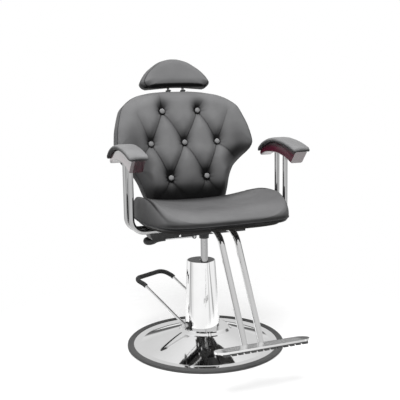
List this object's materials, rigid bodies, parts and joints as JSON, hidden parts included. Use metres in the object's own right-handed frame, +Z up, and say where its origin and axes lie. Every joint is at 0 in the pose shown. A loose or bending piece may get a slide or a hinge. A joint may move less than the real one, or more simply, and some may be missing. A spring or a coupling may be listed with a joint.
{
  "type": "barber chair",
  "caption": "Swivelling barber chair with a hydraulic lift, reclining tufted back, sliding headrest, padded wood arms and a footrest on a round weighted base.",
  "frame": {"origin": "on the lift post's axis, on the floor under the base", "axes": "+Z up, the sitter faces -Y, +X is the sitter's left"},
  "size_m": [0.685, 0.8569, 1.0935],
  "materials": {
    "chrome": "polished",
    "black_steel": "satin",
    "zinc": "satin",
    "base_steel": "matte",
    "rubber": "matte",
    "rim_rubber": "matte",
    "bronze": "satin",
    "black_plastic": "satin",
    "plywood": "black stain",
    "arm_wood": "gloss lacquer",
    "arm_pad": "satin",
    "cast_alloy": "polished",
    "upholstery": "satin",
    "button": "satin"
  },
  "bodies": {
    "base": {"base_plate": "chrome", "floor_plate": "base_steel", "floor_pad": "rubber", "base_rim": "rim_rubber", "flange_bolts": "zinc", "pump_body": "black_steel", "guide_bush": "bronze", "rod_wiper": "rubber", "pump_shroud": "chrome", "shroud_cap": "black_plastic", "cap_screw": "zinc", "lever_brackets": "black_steel"},
    "pump_lever": {"lever_axle": "zinc", "lever_crank": "zinc", "lever_hubs": "zinc", "lever_rod": "chrome", "lever_sleeve": "rubber"},
    "plunger": {"pump_plunger": "zinc"},
    "piston": {"piston_head": "zinc", "piston_seal": "rubber"},
    "seat": {"lift_post": "chrome", "seat_frame": "black_steel", "seat_pan": "plywood", "seat_cushion": "upholstery", "seat_bolts": "zinc", "lock_box": "black_steel", "recline_pins": "zinc", "arm_tube_left_front": "chrome", "arm_tube_left_rear": "chrome", "arm_tube_right_front": "chrome", "arm_tube_right_rear": "chrome", "armrest_left": "arm_wood", "armrest_right": "arm_wood", "arm_pad_left": "arm_pad", "arm_pad_right": "arm_pad", "footrest_tube_left": "chrome", "footrest_tube_right": "chrome", "footrest_straps": "chrome", "footrest_plate": "cast_alloy", "footrest_strip": "rubber", "footrest_bolts": "black_steel", "release_pin": "zinc"},
    "release_lever": {"release_rod": "chrome", "release_knob": "black_plastic"},
    "backrest": {"back_bracket_left": "black_steel", "back_bracket_right": "black_steel", "back_board": "plywood", "back_cushion": "upholstery", "back_buttons": "button", "headrest_guides": "black_plastic"},
    "headrest": {"headrest_rods": "chrome", "headrest_cushion": "upholstery"}
  },
  "joints": [
    {"name": "lift", "type": "slide", "parent": "base", "child": "piston", "axis": [0, 0, 1], "range_m": [-0.06, 0.09]},
    {"name": "swivel", "type": "hinge", "parent": "piston", "child": "seat", "pos_m": [0, 0, 0.2], "axis": [0, 0, 1], "continuous": true},
    {"name": "recline", "type": "hinge", "parent": "seat", "child": "backrest", "pos_m": [0, 0.165, 0.49], "axis": [-1, 0, 0], "range_deg": [0, 40]},
    {"name": "headrest_height", "type": "slide", "parent": "backrest", "child": "headrest", "axis": [0, 0.3355, 0.9421], "range_m": [0, 0.06]},
    {"name": "recline_release", "type": "hinge", "parent": "seat", "child": "release_lever", "pos_m": [-0.028, 0.034, 0.42], "axis": [0, 1, 0], "range_deg": [0, 9], "stiffness_Nm_per_rad": 1.2, "springref_deg": -6.88},
    {"name": "pump_pedal", "type": "hinge", "parent": "base", "child": "pump_lever", "pos_m": [-0.01397, 0.02541, 0.088], "axis": [0.8763, 0.4818, 0], "range_deg": [-30, 0], "stiffness_Nm_per_rad": 6, "springref_deg": 22.92},
    {"name": "plunger_stroke", "type": "slide", "parent": "base", "child": "plunger", "axis": [-0.4818, 0.8763, 0], "range_m": [0, 0.013]}
  ],
  "couplings": [
    {"joint": "plunger_stroke", "follows": "pump_pedal", "m_per_rad": -0.024}
  ]
}
